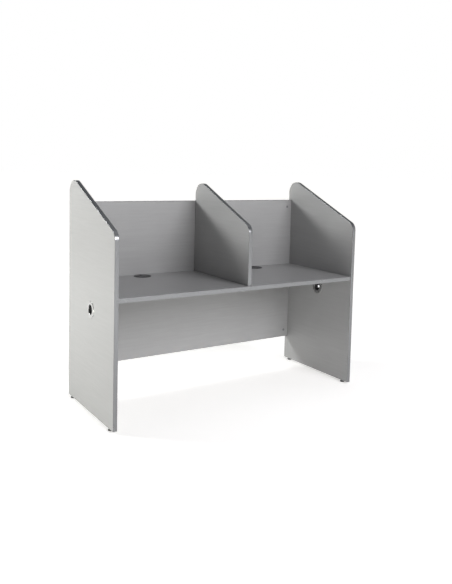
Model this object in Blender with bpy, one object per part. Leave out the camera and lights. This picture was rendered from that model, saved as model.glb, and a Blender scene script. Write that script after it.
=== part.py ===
"""A study carrel for two readers: sloped end panels, a divider, a worktop and a back panel.

Metres, +Z up. The origin is on the floor, under the middle of the carrel. The reader sits on the
-Y side, the back panel is on the +Y side, and the end panels stand at -X and +X.
"""

import math

import bmesh
import bpy
from mathutils import Vector

# Overall size
WIDTH = 1.700
DEPTH = 0.700
BOARD = 0.025
GAP = 0.0003
BAND = 0.002

# Sloped boards: the slope is the line z = SLOPE_Z + SLOPE * y
FOOT_HEIGHT = 0.012
SLOPE = 0.43
SLOPE_Z = 1.228
TOP_RADIUS = 0.080
KNEE_RADIUS = 0.060
ARC_STEPS = 7

# Worktop, back panel and divider
WORKTOP_TOP = 0.730
WORKTOP_FRONT = -0.347
BACK_FACE = 0.320
BACK_BOTTOM = 0.180
BACK_TOP = 1.205
DIVIDER_X = 0.020
DIVIDER_FRONT = -0.335

# Cable fittings
GROMMET_X = {"left": -0.405, "right": 0.460}
GROMMET_Y = 0.255
GROMMET_FLANGE = 0.0560
GROMMET_LINER = 0.0480
GROMMET_BORE = 0.0450
GROMMET_PROUD = 0.003
CABLE_SLOT_RADIUS = 0.011
CABLE_SLOT_FROM_MIDDLE = 0.028
PORT_Y = -0.010
PORT_Z = 0.610
PORT_FLANGE = 0.052
PORT_SLEEVE = 0.0310
PORT_BORE = 0.0280
PORT_PROUD = 0.003
SEAL_BORE = 0.008
SEAL_THICKNESS = 0.002

# Knock-down fittings
CAM_FROM_END = 0.038
CAM_RADIUS = 0.0075
CAM_LENGTH = 0.016
CAM_RECESS = 0.0015
CAM_CAP_RADIUS = 0.009
CAM_CAP_PROUD = 0.0012
BOLT_RADIUS = 0.0035
THREAD_RADIUS = 0.0028
THREAD_DEPTH = 0.010
BACK_CAM_Z = {"upper": 1.155, "lower": 0.230}
WORKTOP_CAM_Y = {"front": -0.270, "rear": 0.220}
DOWEL_RADIUS = 0.004
DOWEL_REACH = 0.015
WORKTOP_DOWEL_Y = {"front": -0.225, "rear": 0.175}
BACK_DOWEL_Z = 0.690
SCREW_LENGTH = 0.050
BASE_SCREW_Y = {"front": -0.200, "rear": 0.200}
REAR_SCREW_Z = {"upper": 1.100, "lower": 0.850}

# Levelling feet
FOOT_Y = {"front": -0.290, "rear": 0.300}
FOOT_RADIUS = 0.016
STEM_RADIUS = 0.004
STEM_TOP = 0.040
INSERT_RADIUS = 0.0055
INSERT_BORE = 0.0043
INSERT_TOP = 0.042
SMALL_HOLE = 0.012

# Places that follow from the dimensions
INNER = WIDTH / 2 - BOARD
END_X = WIDTH / 2 - BOARD / 2
REAR = DEPTH / 2
FRONT = -DEPTH / 2
WORKTOP_MID = WORKTOP_TOP - BOARD / 2
WORKTOP_UNDER = WORKTOP_TOP - BOARD
BACK_MID = BACK_FACE + BOARD / 2
BACK_REAR = BACK_FACE + BOARD
CAM_X = INNER - CAM_FROM_END
SIDES = {"left": -1, "right": 1}

X = Vector((1, 0, 0))
Y = Vector((0, 1, 0))
Z = Vector((0, 0, 1))


def clear_scene():
    for obj in list(bpy.data.objects):
        bpy.data.objects.remove(obj, do_unlink=True)


def material(name, colour, roughness, metallic=0.0):
    made = bpy.data.materials.new(name)
    made.use_nodes = True
    shader = made.node_tree.nodes["Principled BSDF"]
    shader.inputs["Base Color"].default_value = (*colour, 1)
    shader.inputs["Roughness"].default_value = roughness
    shader.inputs["Metallic"].default_value = metallic
    return made


def make_materials():
    return {
        "laminate": material("laminate", (0.42, 0.42, 0.41), 0.45),
        "edging": material("edging", (0.34, 0.35, 0.36), 0.30),
        "black_plastic": material("black_plastic", (0.02, 0.02, 0.022), 0.45),
        "chrome": material("chrome", (0.62, 0.62, 0.60), 0.15, 1.0),
        "zinc": material("zinc", (0.48, 0.48, 0.47), 0.40, 1.0),
        "rubber": material("rubber", (0.015, 0.015, 0.015), 0.65),
        "foot_plastic": material("foot_plastic", (0.12, 0.12, 0.12), 0.55),
        "cap_plastic": material("cap_plastic", (0.40, 0.40, 0.40), 0.50),
        "beech": material("beech", (0.62, 0.45, 0.27), 0.70),
    }


def add_box(bm, low, high):
    """A box between two corners."""
    corners = bmesh.ops.create_cube(bm, size=1)["verts"]
    for vert in corners:
        vert.co = [(low[i] + high[i]) / 2 + vert.co[i] * (high[i] - low[i]) for i in range(3)]


def add_plate(bm, outline, x0, x1):
    """A closed outline of (y, z) points, extruded from x0 to x1."""
    ends = [[bm.verts.new((x, y, z)) for y, z in outline] for x in (x0, x1)]
    bm.faces.new(ends[0])
    bm.faces.new(ends[1])
    bridge(bm, ends[0], ends[1])


def add_band(bm, outer, inner, x0, x1):
    """The strip between two outlines with the same number of points, from x0 to x1."""
    loops = [
        [bm.verts.new((x, y, z)) for y, z in outline]
        for x, outline in ((x0, outer), (x1, outer), (x1, inner), (x0, inner))
    ]
    for index, loop in enumerate(loops):
        bridge(bm, loop, loops[(index + 1) % 4])


def bridge(bm, first, second):
    """Quads between two closed loops of vertices."""
    for i in range(len(first)):
        j = (i + 1) % len(first)
        bm.faces.new((first[i], first[j], second[j], second[i]))


def add_turned(bm, profile, centre, axis, steps):
    """A profile of (radius, height) points turned about an axis through the centre.

    A profile that starts and ends at radius 0 makes a solid, and any other closes on itself.
    """
    turn = Z.rotation_difference(axis)
    rings = []
    for radius, height in profile:
        if radius == 0:
            rings.append([bm.verts.new(centre + turn @ Vector((0, 0, height)))] * steps)
            continue
        ring = []
        for step in range(steps):
            angle = 2 * math.pi * step / steps
            point = Vector((radius * math.cos(angle), radius * math.sin(angle), height))
            ring.append(bm.verts.new(centre + turn @ point))
        rings.append(ring)
    closed = profile[0][0] > 0
    for index in range(len(rings) if closed else len(rings) - 1):
        lower, upper = rings[index], rings[(index + 1) % len(rings)]
        for i in range(steps):
            j = (i + 1) % steps
            corners = dict.fromkeys((lower[i], lower[j], upper[j], upper[i]))
            bm.faces.new(tuple(corners))


def add_pin(bm, radius, start, end, steps):
    """A plain round pin between two points."""
    length = (end - start).length
    profile = ((0, 0), (radius, 0), (radius, length), (0, length))
    add_turned(bm, profile, start, (end - start).normalized(), steps)


def make_object(name, bm, look, origin=(0, 0, 0), smooth=False):
    bmesh.ops.recalc_face_normals(bm, faces=bm.faces)
    bmesh.ops.translate(bm, verts=bm.verts, vec=-Vector(origin))
    mesh = bpy.data.meshes.new(name)
    bm.to_mesh(mesh)
    bm.free()
    if smooth:
        mesh.shade_smooth()
        mesh.set_sharp_from_angle(angle=math.radians(35))
    obj = bpy.data.objects.new(name, mesh)
    obj.location = origin
    bpy.context.scene.collection.objects.link(obj)
    if look:
        mesh.materials.append(look)
    return obj


def make_box(name, low, high, look):
    bm = bmesh.new()
    add_box(bm, low, high)
    return make_object(name, bm, look)


def make_turned(name, profile, centre, axis, steps, look, origin=(0, 0, 0)):
    bm = bmesh.new()
    add_turned(bm, profile, centre, axis, steps)
    return make_object(name, bm, look, origin, smooth=True)


def make_cutter(name, pins=(), profiles=()):
    """A hidden cutter made of separate pins (radius, start, end) and turned profiles.

    Its flat sides lie outside the stated radius, so that a round piece clears them.
    """
    bm = bmesh.new()
    for radius, start, end in pins:
        steps = 16 if radius < SMALL_HOLE else 28
        add_pin(bm, radius / math.cos(math.pi / steps), start, end, steps)
    for profile, centre, axis in profiles:
        wider = [(radius / math.cos(math.pi / 16), height) for radius, height in profile]
        add_turned(bm, wider, centre, axis, 16)
    cutter = make_object(name, bm, None)
    cutter.hide_render = True
    cutter.display_type = "WIRE"
    return cutter


def cut(obj, *cutters):
    for cutter in cutters:
        modifier = obj.modifiers.new(cutter.name, "BOOLEAN")
        modifier.operation = "DIFFERENCE"
        modifier.object = cutter


def sloped_outline(rear, front, foot, inset=0.0):
    """The (y, z) outline of a sloped board, moved inwards by inset: rear foot, top, knee, front."""
    lift = math.hypot(1, SLOPE)
    line = SLOPE_Z - inset * lift
    lean = math.atan(SLOPE)
    points = [(rear - inset, foot + inset)]
    for y, radius, start, end in (
        (rear - TOP_RADIUS, TOP_RADIUS - inset, 0, math.pi / 2 + lean),
        (front + KNEE_RADIUS, KNEE_RADIUS - inset, math.pi / 2 + lean, math.pi),
    ):
        z = line + SLOPE * y - radius * lift
        for step in range(ARC_STEPS + 1):
            angle = start + (end - start) * step / ARC_STEPS
            points.append((y + radius * math.cos(angle), z + radius * math.sin(angle)))
    points.append((front + inset, foot + inset))
    return points


def make_sloped_board(panel, edging, x, rear, front, foot, looks):
    """A sloped board and the edging strip all round it."""
    x0, x1 = x - BOARD / 2, x + BOARD / 2
    bm = bmesh.new()
    add_plate(bm, sloped_outline(rear, front, foot, BAND + GAP), x0, x1)
    board = make_object(panel, bm, looks["laminate"])
    bm = bmesh.new()
    inner = sloped_outline(rear, front, foot, BAND)
    add_band(bm, sloped_outline(rear, front, foot), inner, x0, x1)
    strip = make_object(edging, bm, looks["edging"])
    return board, strip


def screw_profile(grow=0.0):
    """A countersunk panel screw from its head to its tip, grown all round to make its hole."""
    head, shank, thread = 0.005 + grow, BOLT_RADIUS + grow, 0.0025 + grow
    return (
        (0, -2 * grow),
        (head, -2 * grow),
        (head, 0.001 + grow),
        (shank, 0.0035 + grow),
        (shank, 0.012),
        (thread, 0.014),
        (thread, SCREW_LENGTH - 0.002),
        (0, SCREW_LENGTH + 2 * grow),
    )


def make_cam_joint(tag, side, cam_centre, face, looks):
    """A cam in its pocket and the bolt that ties it to the end panel; face points out of the pocket.

    Gives back the shapes to cut: the pocket, the bolt's hole in the board, and the thread's hole.
    """
    out = Vector((side, 0, 0))
    mouth = cam_centre + face * BOARD / 2
    far = CAM_RECESS + CAM_LENGTH
    axis = cam_centre.copy()
    end_face = Vector((side * INNER, axis.y, axis.z))

    bm = bmesh.new()
    add_pin(bm, CAM_RADIUS, mouth - face * CAM_RECESS, mouth - face * far, 16)
    cam = make_object(f"{tag}_cam", bm, looks["zinc"], smooth=True)
    slot = (BOLT_RADIUS + 2 * GAP, axis + out * 0.010, axis - out * 0.0035)
    cut(cam, make_cutter(f"cut_{tag}_cam", [slot]))

    reach = CAM_FROM_END - 0.003
    bolt = (
        (0, -THREAD_DEPTH),
        (THREAD_RADIUS, -THREAD_DEPTH),
        (THREAD_RADIUS, -GAP),
        (BOLT_RADIUS, GAP),
        (BOLT_RADIUS, reach - 0.009),
        (BOLT_RADIUS / 2, reach - 0.008),
        (BOLT_RADIUS / 2, reach - 0.004),
        (BOLT_RADIUS - GAP, reach - 0.003),
        (BOLT_RADIUS - GAP, reach),
        (0, reach + 0.001),
    )
    make_turned(f"{tag}_cam_bolt", bolt, end_face, -out, 10, looks["zinc"])

    pocket = (CAM_RADIUS + GAP, mouth + face * 0.002, mouth - face * (far + 2 * GAP))
    board_hole = (BOLT_RADIUS + 2 * GAP, end_face + out * 0.002, axis + out * CAM_RADIUS)
    thread_hole = (THREAD_RADIUS + GAP, end_face - out * 0.002, end_face + out * 0.0105)
    return pocket, board_hole, thread_hole


def make_dowel(tag, side, y, z, looks):
    """A wooden dowel across a joint at an end panel, and its hole."""
    middle = Vector((side * INNER, y, z))
    bm = bmesh.new()
    add_pin(bm, DOWEL_RADIUS, middle - X * DOWEL_REACH, middle + X * DOWEL_REACH, 12)
    make_object(tag, bm, looks["beech"], smooth=True)
    reach = DOWEL_REACH + 2 * GAP
    return (DOWEL_RADIUS + GAP, middle - X * reach, middle + X * reach)


def make_foot(tag, x, y, looks):
    """A levelling foot, with its origin on its screw's axis, and the threaded insert around it."""
    centre = Vector((x, y, 0))
    top = FOOT_HEIGHT - GAP
    foot = (
        (0, 0),
        (FOOT_RADIUS - 0.001, 0),
        (FOOT_RADIUS, 0.001),
        (FOOT_RADIUS, 0.005),
        (0.009, 0.0075),
        (0.009, top),
        (STEM_RADIUS, top),
        (STEM_RADIUS, STEM_TOP),
        (0, STEM_TOP),
    )
    make_turned(f"{tag}_foot", foot, centre, Z, 16, looks["foot_plastic"], centre)
    low = FOOT_HEIGHT + BAND + GAP
    insert = (
        (INSERT_BORE, low),
        (INSERT_RADIUS, low),
        (INSERT_RADIUS, INSERT_TOP),
        (INSERT_BORE, INSERT_TOP),
    )
    make_turned(f"{tag}_foot_insert", insert, centre, Z, 12, looks["zinc"])
    return (INSERT_RADIUS + GAP, centre + Z * 0.008, centre + Z * (INSERT_TOP + 0.003))


def make_port(tag, side, looks):
    """The flanged sleeve through an end panel, the ring that holds it inside, and its seal."""
    out = Vector((side, 0, 0))
    inner_face = Vector((side * INNER, PORT_Y, PORT_Z))
    flange = BOARD + GAP
    sleeve = (
        (PORT_BORE, -PORT_PROUD),
        (PORT_SLEEVE, -PORT_PROUD),
        (PORT_SLEEVE, flange),
        (PORT_FLANGE, flange),
        (PORT_FLANGE - 0.0015, BOARD + PORT_PROUD),
        (PORT_BORE + 0.002, BOARD + PORT_PROUD),
        (PORT_BORE, BOARD + PORT_PROUD - 0.002),
    )
    make_turned(f"{tag}_port_sleeve", sleeve, inner_face, out, 28, looks["chrome"])
    ring = (
        (PORT_SLEEVE + GAP, -PORT_PROUD),
        (PORT_FLANGE - 0.0015, -PORT_PROUD),
        (PORT_FLANGE, -GAP),
        (PORT_SLEEVE + GAP, -GAP),
    )
    make_turned(f"{tag}_port_ring", ring, inner_face, out, 28, looks["chrome"])
    low = (BOARD - SEAL_THICKNESS) / 2
    rim = PORT_BORE - 2 * GAP
    seal = (
        (SEAL_BORE, low),
        (rim, low),
        (rim, low + SEAL_THICKNESS),
        (SEAL_BORE, low + SEAL_THICKNESS),
    )
    make_turned(f"{tag}_port_seal", seal, inner_face, out, 28, looks["rubber"])
    return (PORT_SLEEVE + GAP, inner_face - out * 0.01, inner_face + out * 0.04)


def make_grommet(tag, x, looks):
    """A desk grommet: a flanged liner in the worktop, and a cap that turns in it."""
    centre = Vector((x, GROMMET_Y, WORKTOP_TOP))
    ledge = GROMMET_BORE - 0.002
    liner = (
        (ledge, -0.0022),
        (ledge, -BOARD + 0.003),
        (GROMMET_LINER - 0.001, -BOARD + 0.003),
        (GROMMET_LINER, -BOARD + 0.005),
        (GROMMET_LINER, GAP),
        (GROMMET_FLANGE, GAP),
        (GROMMET_FLANGE - 0.0015, GROMMET_PROUD),
        (GROMMET_BORE, GROMMET_PROUD),
        (GROMMET_BORE, -0.0022),
    )
    make_turned(f"{tag}_grommet_liner", liner, centre, Z, 28, looks["black_plastic"])
    rim = GROMMET_BORE - 2 * GAP
    cap = (
        (0, -0.0019),
        (rim, -0.0019),
        (rim, GROMMET_PROUD - 0.0008),
        (rim - 0.001, GROMMET_PROUD),
        (0, GROMMET_PROUD),
    )
    bm = bmesh.new()
    add_turned(bm, cap, Vector((0, 0, 0)), Z, 28)
    turned = make_object(f"{tag}_grommet_cap", bm, looks["black_plastic"], smooth=True)
    turned.location = centre
    wide, start, deep = CABLE_SLOT_RADIUS, CABLE_SLOT_FROM_MIDDLE, 0.010
    bm = bmesh.new()
    add_pin(bm, wide, Vector((0, start, -deep)), Vector((0, start, deep)), 16)
    hole = make_object(f"cut_{tag}_cable_slot", bm, None)
    bm = bmesh.new()
    add_box(bm, (-wide, start, -deep), (wide, GROMMET_FLANGE, deep))
    mouth = make_object(f"cut_{tag}_slot_mouth", bm, None)
    for cutter in (hole, mouth):
        cutter.hide_render = True
        cutter.display_type = "WIRE"
        cutter.location = centre
    cut(turned, hole, mouth)
    return (GROMMET_LINER + GAP, centre - Z * 0.05, centre + Z * 0.01)


def make_cam_cap(tag, centre, looks):
    """A push-in cap over a cam in the back panel's front face."""
    cap = (
        (0, -CAM_CAP_PROUD),
        (CAM_CAP_RADIUS - 0.0008, -CAM_CAP_PROUD),
        (CAM_CAP_RADIUS, -GAP - 0.0003),
        (CAM_CAP_RADIUS, -GAP),
        (0.0065, -GAP),
        (0.0065, 0.0010),
        (0, 0.0010),
    )
    make_turned(f"{tag}_cam_cap", cap, centre, Y, 16, looks["cap_plastic"])


def build():
    clear_scene()
    looks = make_materials()

    ends = {}
    for tag, side in SIDES.items():
        names = (f"{tag}_end_panel", f"{tag}_end_edging")
        ends[tag] = make_sloped_board(*names, side * END_X, REAR, FRONT, FOOT_HEIGHT, looks)
    divider, divider_edging = make_sloped_board(
        "divider_panel", "divider_edging", DIVIDER_X,
        BACK_FACE - GAP, DIVIDER_FRONT, WORKTOP_TOP + GAP, looks,
    )

    span = INNER - GAP
    worktop = make_box(
        "worktop_panel",
        (-span, WORKTOP_FRONT + BAND + GAP, WORKTOP_UNDER), (span, BACK_FACE - GAP, WORKTOP_TOP),
        looks["laminate"],
    )
    make_box(
        "worktop_front_edging",
        (-span, WORKTOP_FRONT, WORKTOP_UNDER), (span, WORKTOP_FRONT + BAND, WORKTOP_TOP),
        looks["edging"],
    )
    trim = BAND + GAP
    back = make_box(
        "back_panel",
        (-span, BACK_FACE, BACK_BOTTOM + trim), (span, BACK_REAR, BACK_TOP - trim),
        looks["laminate"],
    )
    for name, low in (("back_top_edging", BACK_TOP - BAND), ("back_bottom_edging", BACK_BOTTOM)):
        make_box(name, (-span, BACK_FACE, low), (span, BACK_REAR, low + BAND), looks["edging"])

    grommet_holes = [make_grommet(tag, x, looks) for tag, x in GROMMET_X.items()]

    worktop_pockets, worktop_bores = [], []
    back_pockets, back_bores = [], []
    for tag, side in SIDES.items():
        end_holes = [make_port(tag, side, looks)]
        for place, y in WORKTOP_CAM_Y.items():
            centre = Vector((side * CAM_X, y, WORKTOP_MID))
            pocket, bore, thread = make_cam_joint(f"{tag}_worktop_{place}", side, centre, -Z, looks)
            worktop_pockets.append(pocket)
            worktop_bores.append(bore)
            end_holes.append(thread)
        for place, z in BACK_CAM_Z.items():
            centre = Vector((side * CAM_X, BACK_MID, z))
            pocket, bore, thread = make_cam_joint(f"{tag}_back_{place}", side, centre, -Y, looks)
            back_pockets.append(pocket)
            back_bores.append(bore)
            end_holes.append(thread)
            make_cam_cap(f"{tag}_back_{place}", Vector((side * CAM_X, BACK_FACE, z)), looks)
        for place, y in WORKTOP_DOWEL_Y.items():
            hole = make_dowel(f"{tag}_worktop_{place}_dowel", side, y, WORKTOP_MID, looks)
            worktop_bores.append(hole)
            end_holes.append(hole)
        hole = make_dowel(f"{tag}_back_dowel", side, BACK_MID, BACK_DOWEL_Z, looks)
        back_bores.append(hole)
        end_holes.append(hole)
        foot_holes = [
            make_foot(f"{tag}_{place}", side * END_X, y, looks) for place, y in FOOT_Y.items()
        ]
        panel, edging = ends[tag]
        sockets = make_cutter(f"cut_{tag}_feet", foot_holes)
        cut(panel, make_cutter(f"cut_{tag}_end", end_holes), sockets)
        cut(edging, sockets)

    base_screws = [Vector((DIVIDER_X, y, WORKTOP_UNDER)) for y in BASE_SCREW_Y.values()]
    rear_screws = [Vector((DIVIDER_X, BACK_REAR, z)) for z in REAR_SCREW_Z.values()]
    for places, heads, axis, tag in (
        (BASE_SCREW_Y, base_screws, Z, "divider_base"),
        (REAR_SCREW_Z, rear_screws, -Y, "divider_rear"),
    ):
        for place, head in zip(places, heads):
            make_turned(f"{tag}_{place}_screw", screw_profile(), head, axis, 12, looks["zinc"])
    base_cut = make_cutter("cut_base_screws", (), [(screw_profile(GAP), c, Z) for c in base_screws])
    rear_cut = make_cutter("cut_rear_screws", (), [(screw_profile(GAP), c, -Y) for c in rear_screws])

    pockets = make_cutter("cut_worktop_pockets", worktop_pockets + grommet_holes)
    cut(worktop, pockets, make_cutter("cut_worktop_bores", worktop_bores), base_cut)
    pockets = make_cutter("cut_back_pockets", back_pockets)
    cut(back, pockets, make_cutter("cut_back_bores", back_bores), rear_cut)
    for board in (divider, divider_edging):
        cut(board, base_cut, rear_cut)


build()
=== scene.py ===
"""The looks of a two-seat study carrel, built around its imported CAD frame.

Metres, +Z up, in the frame of the CAD model: the reader sits at -Y, and the back panel is at +Y.
"""

import math

import bmesh
import bpy
from mathutils import Euler, Matrix, Vector


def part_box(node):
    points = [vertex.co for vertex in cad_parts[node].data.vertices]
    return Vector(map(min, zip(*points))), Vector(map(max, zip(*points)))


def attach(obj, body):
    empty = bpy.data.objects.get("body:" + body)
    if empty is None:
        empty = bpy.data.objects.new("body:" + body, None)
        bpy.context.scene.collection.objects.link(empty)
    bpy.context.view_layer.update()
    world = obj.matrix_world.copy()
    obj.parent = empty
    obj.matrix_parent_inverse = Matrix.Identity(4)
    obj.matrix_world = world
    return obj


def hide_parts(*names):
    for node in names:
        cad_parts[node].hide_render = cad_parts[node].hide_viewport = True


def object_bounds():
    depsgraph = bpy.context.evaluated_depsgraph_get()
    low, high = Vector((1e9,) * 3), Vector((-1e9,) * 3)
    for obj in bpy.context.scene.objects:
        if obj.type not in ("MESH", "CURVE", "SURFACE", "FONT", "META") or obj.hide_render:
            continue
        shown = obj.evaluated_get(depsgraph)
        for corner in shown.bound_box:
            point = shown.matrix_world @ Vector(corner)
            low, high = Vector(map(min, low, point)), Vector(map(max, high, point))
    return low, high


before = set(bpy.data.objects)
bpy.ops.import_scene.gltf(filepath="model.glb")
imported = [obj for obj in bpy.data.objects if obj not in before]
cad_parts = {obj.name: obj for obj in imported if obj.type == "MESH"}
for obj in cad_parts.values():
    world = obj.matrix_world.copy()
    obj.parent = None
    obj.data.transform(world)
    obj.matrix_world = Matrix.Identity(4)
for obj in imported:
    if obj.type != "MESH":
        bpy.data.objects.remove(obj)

CAD_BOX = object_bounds()

# The boards: the slope is the line z = SLOPE_Z + SLOPE * y, as in the CAD model
BAND = 0.002
SLOPE = 0.43
SLOPE_Z = 1.228
TOP_RADIUS = 0.080
KNEE_RADIUS = 0.060
ARC_STEPS = 28
ARRIS = 0.0009
ARRIS_STEPS = 4
BOARD_ARRIS = 0.0004
SEAM = 0.00025
CLEARANCE = 0.0003
THROUGH = 0.05

# Fittings
PORT_BORE = 0.0280
PORT_SLEEVE = 0.0310
PORT_FLANGE_THICKNESS = 0.003
SEAL_BORE = 0.008
SEAL_FINGERS = 14
SEAL_CUT = 0.00035
SEAL_RIM = 0.0035
GROMMET_BORE = 0.0450
GROMMET_LINER = 0.0480
LID_GAP = 0.0006
LID_UNDERSIDE = -0.0019
CABLE_SLOT_RADIUS = 0.011
CABLE_SLOT_FROM_MIDDLE = 0.028
CABLE_SLOT_STEPS = 24
SCREW_HEAD = 0.005
SCREW_HEAD_DEPTH = 0.004
CAM_RADIUS = 0.0075
CAM_POCKET_ABOVE_MIDDLE = 0.0086
CAM_CROSS = (0.0042, 0.0009, 0.0025)
CAP_PROUD = 0.0012
CAP_STUD = 0.0065
FOOT_HUB_TOP = 0.0117
FOOT_GRIP = 0.009
STEM_CREST = 0.0040
STEM_ROOT = 0.0034
STEM_PITCH = 0.00125

# Camera: where it stands, how it is turned, and how wide it sees
IMAGE_WIDTH = 452
CAMERA_PLACE = (-2.214, -3.589, 1.448)
CAMERA_YAW = 33.96
CAMERA_DIP = 4.54
CAMERA_ROLL = 1.50
FOCAL_SHARE = 665.6 / IMAGE_WIDTH
SHIFT_X = -0.0432
SHIFT_Y = -0.1622
SENSOR_WIDTH = 36

# Studio: each light's place, the point it looks at, its size, power in watts and colour
LIGHTS = {
    "left_softbox": ((-4.1, 3.5, 2.8), (-0.2, 0.0, 1.0), (1.6, 0.9), 215, (0.99, 1.0, 0.985)),
    "front_softbox": ((0.9, -5.0, 3.0), (0.3, 0.3, 0.7), (3.0, 2.0), 215, (0.975, 0.97, 1.0)),
    "overhead": ((0.4, -0.3, 4.2), (0.1, 0.0, 0.7), (4.0, 3.0), 20, (0.98, 0.975, 1.0)),
    "left_low": ((-3.4, 0.3, 0.22), (-0.85, 0.0, 0.25), (1.4, 0.3), 18, (1.0, 1.0, 0.88)),
}
FLOOR_SIDE = 80
FLOOR_DROP = 0.0005
FLOOR_GLOW_FROM, FLOOR_GLOW_TO = 1.2, 4.5
FLOOR_GLOW_NEAR, FLOOR_GLOW_FAR = 0.47, 0.88

# Surround: on each side, the heights over which it fades, and its colours below and above them
READER_SIDE = ((0.06, 0.42), (0.38, 0.38, 0.38), (0.03, 0.032, 0.04))
FAR_SIDE = ((0.34, 0.68), (0.82, 0.82, 0.82), (0.10, 0.105, 0.12))
FAR_DIRECTION = (0.80, 0.60, 0.0)
FAR_FROM, FAR_TO = -0.05, 0.35
SEEN_WHITE = (1.0, 1.0, 1.0)

X = Vector((1, 0, 0))
Y = Vector((0, 1, 0))
Z = Vector((0, 0, 1))
SIDES = {"left": -1, "right": 1}


# ---------------------------------------------------------------- materials

class Look:
    """A Principled material under construction, with helpers for the nodes that feed it."""

    def __init__(self, name, roughness=0.5, metallic=0.0, **sockets):
        self.material = bpy.data.materials.new(name)
        self.material.use_nodes = True
        self.tree = self.material.node_tree
        self.shader = self.tree.nodes["Principled BSDF"]
        self.shader.inputs["Roughness"].default_value = roughness
        self.shader.inputs["Metallic"].default_value = metallic
        for socket, value in sockets.items():
            self.shader.inputs[socket.replace("_", " ")].default_value = value
        self.place = self.node("ShaderNodeTexCoord").outputs["Object"]

    def node(self, kind, **settings):
        made = self.tree.nodes.new(kind)
        for name, value in settings.items():
            setattr(made, name, value)
        return made

    def link(self, start, end):
        self.tree.links.new(start, end)

    def stretched(self, scale):
        """The object's coordinates, stretched by a scale on each axis."""
        mapping = self.node("ShaderNodeMapping")
        mapping.inputs["Scale"].default_value = scale
        self.link(self.place, mapping.inputs["Vector"])
        return mapping.outputs["Vector"]

    def noise(self, scale, detail=3.0, roughness=0.55, vector=None):
        made = self.node("ShaderNodeTexNoise")
        made.inputs["Scale"].default_value = scale
        made.inputs["Detail"].default_value = detail
        made.inputs["Roughness"].default_value = roughness
        self.link(vector or self.place, made.inputs["Vector"])
        return made.outputs["Fac"]

    def cells(self, scale, vector=None):
        made = self.node("ShaderNodeTexVoronoi", feature="F1")
        made.inputs["Scale"].default_value = scale
        self.link(vector or self.place, made.inputs["Vector"])
        return made.outputs["Distance"]

    def spread(self, value, low, high, start=0.0, end=1.0):
        """Maps a value from low..high to start..end."""
        made = self.node("ShaderNodeMapRange")
        for name, number in (
            ("From Min", low), ("From Max", high), ("To Min", start), ("To Max", end)
        ):
            made.inputs[name].default_value = number
        self.link(value, made.inputs["Value"])
        return made.outputs["Result"]

    def blended(self, share, first, second):
        """A colour between two, by share; either may be a socket."""
        made = self.node("ShaderNodeMix", data_type="RGBA")
        self.link(share, made.inputs["Factor"])
        for index, colour in ((6, first), (7, second)):
            if isinstance(colour, bpy.types.NodeSocket):
                self.link(colour, made.inputs[index])
            else:
                made.inputs[index].default_value = (*colour, 1)
        return made.outputs[2]

    def total(self, first, second, share):
        """first + second * share."""
        made = self.node("ShaderNodeMath", operation="MULTIPLY_ADD")
        self.link(second, made.inputs[0])
        made.inputs[1].default_value = share
        self.link(first, made.inputs[2])
        return made.outputs[0]

    def colour(self, socket):
        self.link(socket, self.shader.inputs["Base Color"])

    def rough(self, socket):
        self.link(socket, self.shader.inputs["Roughness"])

    def bump(self, height, distance, strength=1.0):
        made = self.node("ShaderNodeBump")
        made.inputs["Distance"].default_value = distance
        made.inputs["Strength"].default_value = strength
        self.link(height, made.inputs["Height"])
        self.link(made.outputs["Normal"], self.shader.inputs["Normal"])


def shade(colour, factor):
    return tuple(channel * factor for channel in colour)


def laminate_look(name, base, along=(1, 1, 1)):
    """Melamine board: a silver-grey print of fine flecks and faint strokes under a satin skin."""
    look = Look(name, IOR=1.5)
    cloud = look.noise(3.2, 4.0)
    stroke = look.noise(95, 3.0, 0.6, look.stretched(along))
    fleck = look.noise(1500, 2.0, 0.6)
    pale = look.blended(look.spread(cloud, 0.32, 0.68), shade(base, 0.965), shade(base, 1.035))
    streaked = look.blended(look.spread(stroke, 0.35, 0.65, 0.0, 0.6), pale, shade(base, 0.91))
    flecked = look.blended(look.spread(fleck, 0.55, 0.72, 0.0, 0.45), streaked, shade(base, 1.16))
    look.colour(flecked)
    look.rough(look.spread(look.total(cloud, fleck, 0.5), 0.5, 1.0, 0.36, 0.47))
    look.bump(look.total(fleck, look.noise(260, 2.0), 1.4), 0.00006, 0.5)
    return look.material


def edging_look(name, base):
    """Metallised edging strip: satin-bright, with a faint fine mottle and small scuffs."""
    look = Look(name, metallic=0.8)
    scuff = look.noise(38, 5.0, 0.7)
    fine = look.noise(900, 2.0)
    worn = look.blended(look.spread(scuff, 0.58, 0.78, 0.0, 0.7), base, shade(base, 1.10))
    look.colour(look.blended(look.spread(fine, 0.35, 0.7, 0.0, 0.35), worn, shade(base, 0.85)))
    look.rough(look.spread(look.total(scuff, fine, 0.4), 0.45, 1.0, 0.26, 0.34))
    look.bump(look.total(fine, scuff, 2.0), 0.000015, 0.3)
    return look.material


def moulding_look(name, base, grain=1400, low=0.38, high=0.55):
    """Moulded plastic with a fine spark-eroded grain, rubbed a little smoother in places."""
    look = Look(name, IOR=1.49)
    pores = look.cells(grain)
    rub = look.noise(55, 4.0, 0.6)
    tone = look.blended(look.spread(rub, 0.4, 0.72), base, tuple(c * 1.5 + 0.006 for c in base))
    look.colour(look.blended(look.spread(pores, 0.0, 0.5, 0.25, 0.0), tone, shade(base, 0.6)))
    look.rough(look.spread(look.total(rub, pores, 0.3), 0.35, 0.85, high, low))
    look.bump(look.total(pores, look.noise(grain * 0.45), 0.6), 0.00010, 0.6)
    return look.material


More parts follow.
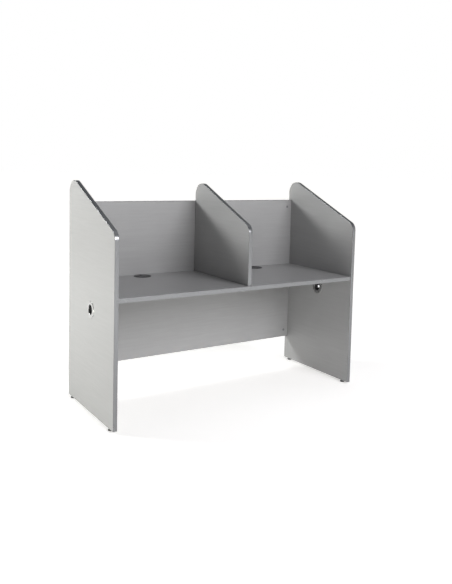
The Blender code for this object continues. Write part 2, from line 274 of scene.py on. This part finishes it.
def metal_look(name, base, low, high, grain, depth):
    """Plated metal: slight tone changes, hairline scratches and an uneven polish."""
    look = Look(name, metallic=1.0)
    tone = look.noise(60, 4.0, 0.6)
    hair = look.noise(grain, 3.0, 0.7, look.stretched((1, 1, 7)))
    look.colour(look.blended(look.spread(tone, 0.35, 0.7), shade(base, 0.88), base))
    look.rough(look.spread(look.total(tone, hair, 0.6), 0.55, 1.05, low, high))
    look.bump(hair, depth, 0.4)
    return look.material


def beech_look(name):
    """Raw beech: pale pink-brown, with short dark flecks along the grain."""
    look = Look(name, roughness=0.7)
    grain = look.noise(240, 4.0, 0.6, look.stretched((0.12, 1, 1)))
    fleck = look.noise(900, 2.0, 0.6, look.stretched((0.2, 1, 1)))
    wood = look.blended(look.spread(grain, 0.35, 0.65), (0.62, 0.44, 0.26), (0.50, 0.32, 0.17))
    look.colour(look.blended(look.spread(fleck, 0.6, 0.7, 0, 0.8), wood, (0.30, 0.17, 0.09)))
    look.rough(look.spread(grain, 0.3, 0.7, 0.62, 0.8))
    look.bump(look.total(grain, fleck, 0.5), 0.00012, 0.6)
    return look.material


def chipboard_look(name):
    """The raw inside of a bored hole: pressed wood chips."""
    look = Look(name, roughness=0.85)
    chips = look.cells(520)
    dust = look.noise(1500, 2.0)
    wood = look.blended(look.spread(chips, 0.1, 0.7), (0.30, 0.20, 0.11), (0.56, 0.42, 0.26))
    look.colour(look.blended(look.spread(dust, 0.4, 0.7, 0, 0.5), wood, (0.62, 0.50, 0.34)))
    look.rough(look.spread(dust, 0.3, 0.7, 0.8, 0.95))
    look.bump(look.total(chips, dust, 0.6), 0.0006, 0.7)
    return look.material


def make_looks():
    board = (0.348, 0.348, 0.346)
    return {
        "end": laminate_look("laminate_end", board, (1.0, 0.05, 1.0)),
        "long": laminate_look("laminate_long", board, (0.05, 1.0, 1.0)),
        "edging": edging_look("edging_grey", (0.235, 0.24, 0.245)),
        "black": moulding_look("grommet_black", (0.018, 0.018, 0.020)),
        "rubber": moulding_look("seal_rubber", (0.012, 0.012, 0.013), 1800, 0.5, 0.7),
        "foot": moulding_look("foot_nylon", (0.10, 0.10, 0.102), 1100, 0.42, 0.6),
        "cap": moulding_look("cap_grey", (0.16, 0.16, 0.165), 1600, 0.35, 0.5),
        "chrome": metal_look("port_chrome", (0.40, 0.40, 0.395), 0.22, 0.36, 420, 0.00003),
        "zinc": metal_look("zinc_plate", (0.60, 0.60, 0.58), 0.30, 0.50, 300, 0.00006),
        "beech": beech_look("beech_raw"),
        "chipboard": chipboard_look("chipboard_raw"),
    }


# ---------------------------------------------------------------- mesh helpers

def bridge(bm, first, second):
    for i in range(len(first)):
        j = (i + 1) % len(first)
        bm.faces.new((first[i], first[j], second[j], second[i]))


def shade_by_angle(mesh, angle):
    mesh.shade_smooth()
    mesh.set_sharp_from_angle(angle=math.radians(angle))


def to_object(name, bm, look, smooth_angle=30):
    """A mesh object with its faces turned out, and smooth where they meet at less than an angle."""
    bmesh.ops.recalc_face_normals(bm, faces=bm.faces)
    mesh = bpy.data.meshes.new(name)
    bm.to_mesh(mesh)
    bm.free()
    shade_by_angle(mesh, smooth_angle)
    mesh.materials.append(look)
    obj = bpy.data.objects.new(name, mesh)
    bpy.context.scene.collection.objects.link(obj)
    return obj


def baked(obj):
    """Applies an object's modifiers to its mesh."""
    graph = bpy.context.evaluated_depsgraph_get()
    mesh = bpy.data.meshes.new_from_object(obj.evaluated_get(graph))
    obj.modifiers.clear()
    old = obj.data
    obj.data = mesh
    mesh.name = obj.name
    bpy.data.meshes.remove(old)
    return obj


def evened(obj, angle=35):
    """Shades a cut mesh so that its large faces stay flat and its rounded edges smooth."""
    shade_by_angle(obj.data, angle)
    weighted = obj.modifiers.new("normals", "WEIGHTED_NORMAL")
    weighted.mode = "FACE_AREA"
    weighted.weight = 100
    weighted.keep_sharp = True
    return baked(obj)


def rounded(obj, width, segments=3, angle=40):
    bevel = obj.modifiers.new("arris", "BEVEL")
    bevel.width = width
    bevel.segments = segments
    bevel.limit_method = "ANGLE"
    bevel.angle_limit = math.radians(angle)
    baked(obj)
    return evened(obj)


def bored(obj, *holes):
    """Cuts round holes (radius, start, end) out of an object, one at a time."""
    cutters = []
    for radius, start, end in holes:
        bm = bmesh.new()
        length = (end - start).length
        profile = ((0, 0), (radius, 0), (radius, length), (0, length))
        add_turned(bm, profile, start, (end - start).normalized(), 48)
        cutter = to_object(f"{obj.name}_bore", bm, bpy.data.materials["chipboard_raw"])
        cut = obj.modifiers.new("bore", "BOOLEAN")
        cut.object = cutter
        cut.operation = "DIFFERENCE"
        cut.solver = "EXACT"
        cut.material_mode = "TRANSFER"
        cutters.append(cutter)
    baked(obj)
    for cutter in cutters:
        bpy.data.objects.remove(cutter, do_unlink=True)
    return evened(obj)


def cut_out(obj, cutter):
    """Cuts one closed mesh out of another, and removes the cutter."""
    cut = obj.modifiers.new("cut", "BOOLEAN")
    cut.object = cutter
    baked(obj)
    bpy.data.objects.remove(cutter, do_unlink=True)


def add_turned(bm, profile, centre, axis, steps):
    """Turns a profile of (radius, height) points about an axis.

    A profile that starts off the axis closes on itself.
    """
    turn = Z.rotation_difference(axis)
    rings = []
    for radius, height in profile:
        if radius == 0:
            rings.append([bm.verts.new(centre + turn @ Vector((0, 0, height)))] * steps)
            continue
        ring = []
        for step in range(steps):
            angle = 2 * math.pi * step / steps
            point = Vector((radius * math.cos(angle), radius * math.sin(angle), height))
            ring.append(bm.verts.new(centre + turn @ point))
        rings.append(ring)
    closed = profile[0][0] > 0
    for index in range(len(rings) if closed else len(rings) - 1):
        lower, upper = rings[index], rings[(index + 1) % len(rings)]
        for i in range(steps):
            j = (i + 1) % steps
            bm.faces.new(tuple(dict.fromkeys((lower[i], lower[j], upper[j], upper[i]))))


def softened(profile, radius, steps=3, closed=True):
    """A profile with each corner rounded by an arc-like curve of a few points."""
    points = [Vector(p) for p in profile]
    made = []
    count = len(points)
    for index, point in enumerate(points):
        if not closed and index in (0, count - 1):
            made.append(tuple(point))
            continue
        before = points[index - 1] - point
        after = points[(index + 1) % count] - point
        reach = min(radius, before.length * 0.45, after.length * 0.45)
        start = point + before.normalized() * reach
        end = point + after.normalized() * reach
        for step in range(steps + 1):
            t = step / steps
            spot = start * (1 - t) ** 2 + point * 2 * t * (1 - t) + end * t ** 2
            made.append(tuple(spot))
    return made


def turned(name, profile, centre, axis, look, steps=64, smooth_angle=35):
    bm = bmesh.new()
    add_turned(bm, profile, centre, axis, steps)
    return to_object(name, bm, look, smooth_angle)


def make_box(name, low, high, look):
    bm = bmesh.new()
    for vert in bmesh.ops.create_cube(bm, size=1)["verts"]:
        vert.co = [(low[i] + high[i]) / 2 + vert.co[i] * (high[i] - low[i]) for i in range(3)]
    return to_object(name, bm, look)


def stands_for(piece, body, slot, *nodes):
    """Joins a piece to its body in place of CAD nodes, which it hides. The slot argument is not
    used.
    """
    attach(piece, body)
    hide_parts(*nodes)
    return piece


# ---------------------------------------------------------------- boards

def sloped_outline(rear, front, foot, inset=0.0):
    """The (y, z) outline of a sloped board, moved inwards by inset: rear foot, top, knee, front."""
    lift = math.hypot(1, SLOPE)
    line = SLOPE_Z - inset * lift
    lean = math.atan(SLOPE)
    points = [(rear - inset, foot + inset)]
    for y, radius, start, end in (
        (rear - TOP_RADIUS, TOP_RADIUS - inset, 0, math.pi / 2 + lean),
        (front + KNEE_RADIUS, KNEE_RADIUS - inset, math.pi / 2 + lean, math.pi),
    ):
        z = line + SLOPE * y - radius * lift
        for step in range(ARC_STEPS + 1):
            angle = start + (end - start) * step / ARC_STEPS
            points.append((y + radius * math.cos(angle), z + radius * math.sin(angle)))
    points.append((front + inset, foot + inset))
    return points


def make_sloped_board(panel, edging, looks, holes):
    """A sloped board and its edging, whose outer corners are rounded along their whole run."""
    low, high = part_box(edging)
    rear, front, foot = high[1], low[1], low[2]
    x0, x1 = low[0], high[0]

    bm = bmesh.new()
    outline = sloped_outline(rear, front, foot, BAND + SEAM)
    ends = [[bm.verts.new((x, y, z)) for y, z in outline] for x in (x0, x1)]
    bm.faces.new(ends[0])
    bm.faces.new(ends[1])
    bridge(bm, *ends)
    board = to_object(f"{panel}_board", bm, looks["end"])
    bored(board, *holes)
    stands_for(board, "carrel", "laminate", panel)

    bm = bmesh.new()
    section = [(x0, BAND)]
    for middle, start in ((x0 + ARRIS, math.pi), (x1 - ARRIS, 1.5 * math.pi)):
        for step in range(ARRIS_STEPS + 1):
            angle = start + math.pi / 2 * step / ARRIS_STEPS
            across = middle + ARRIS * math.cos(angle)
            section.append((across, ARRIS + ARRIS * math.sin(angle)))
    section.append((x1, BAND))
    loops = []
    for across, inset in section:
        outline = sloped_outline(rear, front, foot, inset)
        loops.append([bm.verts.new((across, y, z)) for y, z in outline])
    for index, loop in enumerate(loops):
        bridge(bm, loop, loops[(index + 1) % len(loops)])
    strip = to_object(f"{edging}_strip", bm, looks["edging"])
    stands_for(strip, "carrel", "edging", edging)


def make_strip(node, looks):
    """A straight edging strip with rounded arrises on its outer side."""
    low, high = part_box(node)
    strip = make_box(f"{node}_strip", low, high, looks["edging"])
    rounded(strip, ARRIS, ARRIS_STEPS)
    stands_for(strip, "carrel", "edging", node)


def make_board(node, look, holes):
    """A flat board with its edges just broken and its holes bored."""
    low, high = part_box(node)
    board = make_box(f"{node}_board", low, high, look)
    rounded(board, BOARD_ARRIS, 2)
    bored(board, *holes)
    stands_for(board, "carrel", "laminate", node)


def centre_of(node):
    low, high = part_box(node)
    return (Vector(low) + Vector(high)) / 2


def make_boards(looks):
    for tag, side in SIDES.items():
        port = centre_of(f"{tag}_port_sleeve")
        through = X * side * THROUGH
        holes = [(PORT_SLEEVE + CLEARANCE, port - through, port + through)]
        make_sloped_board(f"{tag}_end_panel", f"{tag}_end_edging", looks, holes)
    make_sloped_board("divider_panel", "divider_edging", looks, [])

    low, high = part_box("worktop_panel")
    holes = []
    for tag in SIDES:
        centre = centre_of(f"{tag}_grommet_liner")
        holes.append((GROMMET_LINER + CLEARANCE, centre - Z * THROUGH, centre + Z * THROUGH))
        for place in ("front", "rear"):
            cam = centre_of(f"{tag}_worktop_{place}_cam")
            mouth = Vector((cam.x, cam.y, low[2] - 0.01))
            holes.append((CAM_RADIUS + CLEARANCE, mouth, cam + Z * CAM_POCKET_ABOVE_MIDDLE))
    for place in ("front", "rear"):
        screw = centre_of(f"divider_base_{place}_screw")
        mouth = Vector((screw.x, screw.y, low[2]))
        holes.append((SCREW_HEAD + CLEARANCE, mouth - Z * 0.01, mouth + Z * SCREW_HEAD_DEPTH))
    make_board("worktop_panel", looks["long"], holes)

    low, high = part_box("back_panel")
    holes = []
    for place in ("upper", "lower"):
        screw = centre_of(f"divider_rear_{place}_screw")
        mouth = Vector((screw.x, high[1], screw.z))
        holes.append((SCREW_HEAD + CLEARANCE, mouth + Y * 0.01, mouth - Y * SCREW_HEAD_DEPTH))
    make_board("back_panel", looks["long"], holes)
    for node in ("worktop_front_edging", "back_top_edging", "back_bottom_edging"):
        make_strip(node, looks)


# ---------------------------------------------------------------- fittings

def make_grommet(tag, looks):
    """The flanged liner, and the cap with its shallow groove and its cable slot."""
    low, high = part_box(f"{tag}_grommet_liner")
    x, y, _ = centre_of(f"{tag}_grommet_liner")
    flange = (high[0] - low[0]) / 2
    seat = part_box("worktop_panel")[1][2]
    top = high[2] - seat
    bottom = low[2] - seat
    centre = Vector((x, y, seat))
    liner = softened((
        (GROMMET_BORE - 0.002, -0.0022),
        (GROMMET_BORE - 0.002, bottom),
        (GROMMET_LINER - 0.001, bottom),
        (GROMMET_LINER, bottom + 0.002),
        (GROMMET_LINER, CLEARANCE),
        (flange, CLEARANCE),
        (flange, 0.0009),
        (flange - 0.0016, top - 0.0003),
        (flange - 0.0060, top),
        (GROMMET_BORE + 0.0006, top),
        (GROMMET_BORE, top - 0.0006),
        (GROMMET_BORE, -0.0022),
    ), 0.0006)
    ring = turned(f"{tag}_grommet_flange", liner, centre, Z, looks["black"], 96)
    stands_for(ring, "carrel", "black_plastic", f"{tag}_grommet_liner")

    rim = GROMMET_BORE - LID_GAP
    lid_profile = softened((
        (0, LID_UNDERSIDE),
        (rim, LID_UNDERSIDE),
        (rim, top - 0.0002),
        (rim - 0.0050, top - 0.0002),
        (rim - 0.0056, top - 0.0009),
        (rim - 0.0064, top - 0.0009),
        (rim - 0.0070, top - 0.0002),
        (0.0150, top - 0.0004),
        (0.0, top - 0.0004),
    ), 0.0005, 3, closed=False)
    lid = turned(f"{tag}_grommet_lid", lid_profile, centre, Z, looks["black"], 96)
    slot_end = centre + Y * CABLE_SLOT_FROM_MIDDLE
    wide = CABLE_SLOT_RADIUS
    points = []
    for step in range(CABLE_SLOT_STEPS + 1):
        angle = math.pi + math.pi * step / CABLE_SLOT_STEPS
        points.append((wide * math.cos(angle), wide * math.sin(angle)))
    points += [(wide, flange), (-wide, flange)]
    bm = bmesh.new()
    rings = []
    for height in (-0.02, 0.02):
        rings.append([bm.verts.new(slot_end + Vector((a, b, height))) for a, b in points])
    bm.faces.new(rings[0])
    bm.faces.new(rings[1])
    bridge(bm, *rings)
    cut_out(lid, to_object("slot_cutter", bm, looks["black"]))
    rounded(lid, 0.0004, 2, 50)
    stands_for(lid, f"{tag}_cap", "black_plastic", f"{tag}_grommet_cap")


def make_port(tag, side, looks):
    """The chromed sleeve with a domed flange, and the ring that holds it on the inner face."""
    out = X * side
    low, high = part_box(f"{tag}_port_sleeve")
    flange = (high[2] - low[2]) / 2
    centre = centre_of(f"{tag}_port_sleeve")
    length = high[0] - low[0]
    inner = Vector((centre.x - side * length / 2, centre.y, centre.z))
    seat = length - PORT_FLANGE_THICKNESS
    sleeve = softened((
        (PORT_BORE, 0.0),
        (PORT_SLEEVE, 0.0),
        (PORT_SLEEVE, seat + CLEARANCE),
        (flange, seat + CLEARANCE),
        (flange, seat + 0.0009),
        (flange - 0.0025, seat + 0.0021),
        (flange - 0.0090, length - 0.0001),
        (PORT_BORE + 0.0045, length),
        (PORT_BORE + 0.0015, length - 0.0006),
        (PORT_BORE, length - 0.0028),
    ), 0.0012, 4)
    piece = turned(f"{tag}_port_flange", sleeve, inner, out, looks["chrome"], 96, 60)
    stands_for(piece, "carrel", "chrome", f"{tag}_port_sleeve")

    low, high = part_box(f"{tag}_port_ring")
    depth = high[0] - low[0]
    middle = centre_of(f"{tag}_port_ring")
    start = Vector((middle.x + side * depth / 2, middle.y, middle.z))
    ring = softened((
        (PORT_SLEEVE + CLEARANCE, 0.0),
        (flange, 0.0),
        (flange, 0.0006),
        (flange - 0.0025, depth * 0.75),
        (flange - 0.0090, depth),
        (PORT_SLEEVE + 0.0013, depth),
        (PORT_SLEEVE + CLEARANCE, depth - 0.0008),
    ), 0.0008, 4)
    piece = turned(f"{tag}_port_inner_ring", ring, start, -out, looks["chrome"], 96, 60)
    stands_for(piece, "carrel", "chrome", f"{tag}_port_ring")
    make_seal(tag, side, looks)


def make_seal(tag, side, looks):
    """A black rubber seal: a rim, and a ring of fingers with a fine cut between each two."""
    node = f"{tag}_port_seal"
    low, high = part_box(node)
    middle = centre_of(node)
    half = (high[0] - low[0]) / 2
    rim = (high[2] - low[2]) / 2
    root = rim - SEAL_RIM
    bm = bmesh.new()
    profile = softened(((root, -half), (rim, -half), (rim, half), (root, half)), 0.0006)
    add_turned(bm, profile, middle, X, 96)
    pitch = 2 * math.pi / SEAL_FINGERS
    steps = 6
    for finger in range(SEAL_FINGERS):
        first = 2 * math.pi * finger / SEAL_FINGERS
        rings = []
        for radius, thick in ((SEAL_BORE, 0.35), (0.013, 0.6), (root + 0.0002, 0.8)):
            lean = math.asin(SEAL_CUT / radius)
            arc = []
            for step in range(steps + 1):
                share = step / steps
                angle = first + lean + (pitch - 2 * lean) * share
                arc.append((radius * math.cos(angle), radius * math.sin(angle)))
            loop = []
            for across, spots in ((half * thick, arc), (-half * thick, arc[::-1])):
                loop += [bm.verts.new(middle + Vector((across, a, b))) for a, b in spots]
            rings.append(loop)
        bm.faces.new(rings[0])
        bm.faces.new(rings[-1])
        for inner, outer in zip(rings, rings[1:]):
            bridge(bm, inner, outer)
    seal = to_object(f"{node}_fingers", bm, looks["rubber"])
    stands_for(seal, "carrel", "rubber", node)


def make_foot(tag, looks):
    """A levelling foot: a round glide, a six-sided grip for a spanner, and its steel stem."""
    node = f"{tag}_foot"
    low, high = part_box(node)
    x, y, _ = centre_of(node)
    radius = (high[0] - low[0]) / 2
    base = Vector((x, y, low[2]))
    height = high[2] - low[2]
    glide = softened((
        (0, 0),
        (radius - 0.0012, 0),
        (radius, 0.0012),
        (radius, 0.0045),
        (radius - 0.0015, 0.0056),
        (0.0100, 0.0068),
        (0, 0.0068),
    ), 0.0008, 4, closed=False)
    bm = bmesh.new()
    add_turned(bm, glide, base, Z, 64)
    foot = to_object(f"{node}_glide", bm, looks["foot"])
    stands_for(foot, f"{tag}_leveller", "foot_plastic", node)
    bm = bmesh.new()
    hexagon = ((0, 0.0067), (FOOT_GRIP, 0.0067), (FOOT_GRIP, FOOT_HUB_TOP), (0, FOOT_HUB_TOP))
    add_turned(bm, hexagon, base, Z, 6)
    grip = to_object(f"{node}_grip", bm, looks["foot"])
    rounded(grip, 0.0005, 2)
    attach(grip, f"{tag}_leveller")
    thread = [(0, FOOT_HUB_TOP)]
    for turn in range(int((height - FOOT_HUB_TOP) / STEM_PITCH)):
        thread.append((STEM_ROOT, FOOT_HUB_TOP + STEM_PITCH * turn + 0.0001))
        thread.append((STEM_CREST, FOOT_HUB_TOP + STEM_PITCH * (turn + 0.5)))
    thread += [(STEM_ROOT, height), (0, height)]
    bm = bmesh.new()
    add_turned(bm, thread, base, Z, 32)
    stem = to_object(f"{node}_stem", bm, looks["zinc"], 20)
    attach(stem, f"{tag}_leveller")


def make_cam_cap(node, looks):
    """A cover cap with a softly domed face and a thin rim."""
    low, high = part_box(node)
    centre = centre_of(node)
    radius = (high[0] - low[0]) / 2
    face = Vector((centre.x, low[1], centre.z))
    depth = high[1] - low[1]
    cap = softened((
        (0, 0),
        (radius * 0.62, 0.00005),
        (radius - 0.0010, 0.0003),
        (radius, 0.0007),
        (radius, CAP_PROUD - CLEARANCE),
        (CAP_STUD, CAP_PROUD - CLEARANCE),
        (CAP_STUD, depth),
        (0, depth),
    ), 0.0004, 4, closed=False)
    piece = turned(f"{node}_cover", cap, face, Y, looks["cap"], 64, 50)
    stands_for(piece, "carrel", "cap_plastic", node)


def make_cam(node, axis, looks):
    """A cam with a cross recess in its face."""
    low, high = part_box(node)
    centre = centre_of(node)
    length = (Vector(high) - Vector(low)).dot(Vector([abs(c) for c in axis]))
    start = centre - axis * length / 2
    profile = softened((
        (0, 0), (CAM_RADIUS, 0), (CAM_RADIUS, length), (0, length)
    ), 0.0006, 3, closed=False)
    cam = turned(f"{node}_body", profile, start, axis, looks["zinc"], 64)
    end = centre + axis * length / 2
    reach, width, depth = CAM_CROSS
    for along in (X, axis.cross(X)):
        half = along * reach + axis.cross(along) * width + axis * depth
        half = Vector([abs(c) for c in half])
        cut_out(cam, make_box("cross_cutter", end - half, end + half, looks["zinc"]))
    stands_for(cam, "carrel", "zinc", node)


def make_screw_head(node, head, axis, looks):
    """The visible head of a panel screw, with its hexagon socket."""
    profile = ((0, 0.0004), (0.0022, 0.0004), (0.0046, 0.0002), (SCREW_HEAD, 0.0009),
               (0.0035, 0.0035), (0.0035, 0.012), (0.0025, 0.014), (0.0025, 0.048), (0, 0.050))
    screw = turned(f"{node}_body", profile, head, axis, looks["zinc"], 48)
    bm = bmesh.new()
    socket = ((0, -0.002), (0.0023, -0.002), (0.0023, 0.0028), (0, 0.0028))
    add_turned(bm, socket, head, axis, 6)
    cut_out(screw, to_object("socket_cutter", bm, looks["zinc"]))
    stands_for(screw, "carrel", "zinc", node)


def make_fittings(looks):
    for tag, side in SIDES.items():
        make_grommet(tag, looks)
        make_port(tag, side, looks)
        for place in ("front", "rear"):
            make_foot(f"{tag}_{place}", looks)
            make_cam(f"{tag}_worktop_{place}_cam", -Z, looks)
        for place in ("upper", "lower"):
            make_cam_cap(f"{tag}_back_{place}_cam_cap", looks)
    for place in ("front", "rear"):
        node = f"divider_base_{place}_screw"
        low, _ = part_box(node)
        spot = centre_of(node)
        make_screw_head(node, Vector((spot.x, spot.y, low[2])), Z, looks)
    for place in ("upper", "lower"):
        node = f"divider_rear_{place}_screw"
        _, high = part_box(node)
        spot = centre_of(node)
        make_screw_head(node, Vector((spot.x, high[1], spot.z)), -Y, looks)


def dress_carried_nodes(looks):
    """Gives the CAD nodes that stay, all inside the boards, their detailed materials."""
    for name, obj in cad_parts.items():
        if name.endswith("dowel"):
            look = looks["beech"]
        elif name.endswith(("bolt", "insert", "_cam")):
            look = looks["zinc"]
        else:
            continue
        for slot in obj.material_slots:
            slot.material = look


# ---------------------------------------------------------------- studio

def make_floor():
    """A pale floor that glows more with the distance, so that it runs into the surround."""
    bm = bmesh.new()
    bmesh.ops.create_grid(bm, x_segments=1, y_segments=1, size=FLOOR_SIDE)
    look = Look("studio_floor", roughness=0.9)
    grain = look.noise(0.6, 2.0)
    look.colour(look.blended(look.spread(grain, 0.3, 0.7), (0.86, 0.86, 0.855), (0.88, 0.88, 0.88)))
    look.shader.inputs["Emission Color"].default_value = (1.0, 0.985, 0.955, 1)
    distance = look.node("ShaderNodeVectorMath", operation="LENGTH")
    look.link(look.place, distance.inputs[0])
    glow = look.spread(
        distance.outputs["Value"], FLOOR_GLOW_FROM, FLOOR_GLOW_TO, FLOOR_GLOW_NEAR, FLOOR_GLOW_FAR
    )
    look.link(glow, look.shader.inputs["Emission Strength"])
    floor = to_object("studio_floor", bm, look.material)
    floor.location.z = CAD_BOX[0][2] - FLOOR_DROP


def make_world():
    """A surround whose light is pale behind the carrel, grey on the reader's side, dark overhead.

    What is seen of it past the carrel is plain white from every side.
    """
    world = bpy.data.worlds.new("studio")
    bpy.context.scene.world = world
    world.use_nodes = True
    tree = world.node_tree
    background = tree.nodes["Background"]
    place = tree.nodes.new("ShaderNodeTexCoord").outputs["Generated"]

    def fade(value, low, high):
        made = tree.nodes.new("ShaderNodeMapRange")
        made.interpolation_type = "SMOOTHSTEP"
        made.inputs["From Min"].default_value = low
        made.inputs["From Max"].default_value = high
        tree.links.new(value, made.inputs["Value"])
        return made.outputs["Result"]

    def mixed(share, first, second):
        made = tree.nodes.new("ShaderNodeMix")
        made.data_type = "RGBA"
        tree.links.new(share, made.inputs["Factor"])
        for index, colour in ((6, first), (7, second)):
            if isinstance(colour, bpy.types.NodeSocket):
                tree.links.new(colour, made.inputs[index])
            else:
                made.inputs[index].default_value = (*colour, 1)
        return made.outputs[2]

    height = tree.nodes.new("ShaderNodeSeparateXYZ")
    tree.links.new(place, height.inputs["Vector"])
    away = tree.nodes.new("ShaderNodeVectorMath")
    away.operation = "DOT_PRODUCT"
    away.inputs[1].default_value = FAR_DIRECTION
    tree.links.new(place, away.inputs[0])
    sides = [
        mixed(fade(height.outputs["Z"], *heights), below, above)
        for heights, below, above in (READER_SIDE, FAR_SIDE)
    ]
    sky = mixed(fade(away.outputs["Value"], FAR_FROM, FAR_TO), *sides)
    seen = tree.nodes.new("ShaderNodeLightPath").outputs["Is Camera Ray"]
    tree.links.new(mixed(seen, sky, SEEN_WHITE), background.inputs["Color"])
    background.inputs["Strength"].default_value = 1.0


def make_light(name, place, target, size, power, colour):
    """A rectangular soft light at a place, turned to a target."""
    data = bpy.data.lights.new(name, "AREA")
    data.shape = "RECTANGLE"
    data.size, data.size_y = size
    data.energy = power
    data.color = colour
    light = bpy.data.objects.new(name, data)
    light.location = place
    light.rotation_euler = (Vector(target) - Vector(place)).to_track_quat("-Z", "Y").to_euler()
    bpy.context.scene.collection.objects.link(light)


def make_camera():
    data = bpy.data.cameras.new("camera")
    data.sensor_fit = "HORIZONTAL"
    data.sensor_width = SENSOR_WIDTH
    data.lens = FOCAL_SHARE * SENSOR_WIDTH
    data.shift_x = SHIFT_X
    data.shift_y = SHIFT_Y
    data.clip_start = 0.05
    camera = bpy.data.objects.new("camera", data)
    bpy.context.scene.collection.objects.link(camera)
    turn = Euler((math.radians(90 - CAMERA_DIP), 0, math.radians(-CAMERA_YAW))).to_matrix()
    roll = Matrix.Rotation(math.radians(CAMERA_ROLL), 3, "Z")
    camera.matrix_world = Matrix.Translation(CAMERA_PLACE) @ (turn @ roll).to_4x4()
    bpy.context.scene.camera = camera


looks = make_looks()
make_camera()
make_world()
for light, settings in LIGHTS.items():
    make_light(light, *settings)
make_floor()
make_boards(looks)
make_fittings(looks)
dress_carried_nodes(looks)
bpy.context.scene.view_settings.view_transform = "Standard"
